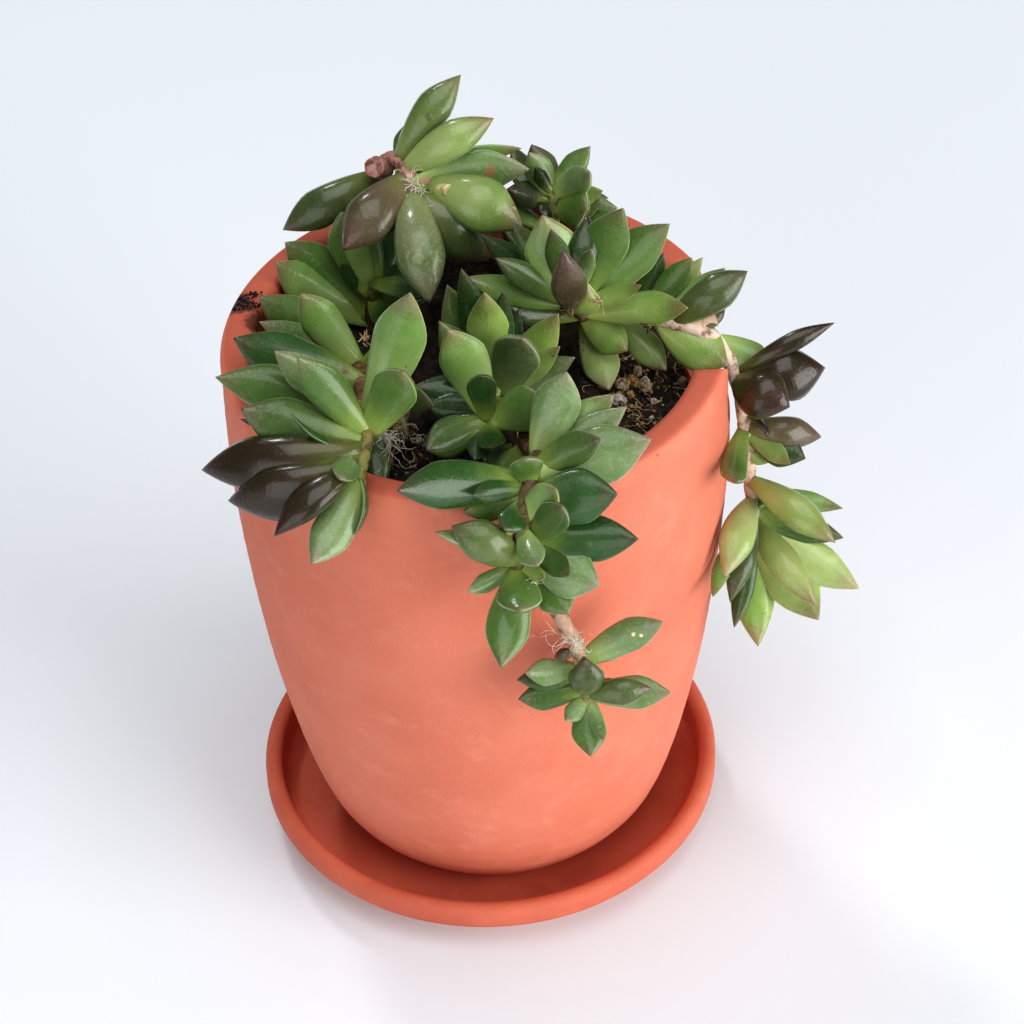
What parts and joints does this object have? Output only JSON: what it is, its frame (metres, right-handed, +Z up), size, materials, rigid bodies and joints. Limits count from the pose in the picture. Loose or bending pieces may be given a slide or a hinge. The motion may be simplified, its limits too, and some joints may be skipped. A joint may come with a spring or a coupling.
{
  "type": "potted sand rose",
  "caption": "Trailing sand rose with fleshy pointed leaves in a tall notched terracotta pot, standing on a round terracotta saucer.",
  "frame": {"origin": "centre of the saucer's flat underside, on the surface it stands on", "axes": "+Z up, +X toward the notch in the rim, -Y toward the viewer"},
  "size_m": [0.1343, 0.1304, 0.17],
  "materials": {
    "terracotta_pot": "unglazed matt terracotta, salmon orange, darker red brown inside",
    "terracotta_saucer": "unglazed matt terracotta",
    "earth": "black potting soil with pale grit",
    "leaves": "waxy green leaves, softly glossy, browner at the tips and undersides"
  },
  "bodies": {
    "root": {"saucer": "terracotta_saucer", "pot": "terracotta_pot", "soil": "earth", "sprig_top_left": "leaves", "sprig_left": "leaves", "sprig_left_back": "leaves", "sprig_centre": "leaves", "sprig_front": "leaves", "sprig_right": "leaves", "sprig_back": "leaves"}
  },
  "joints": []
}
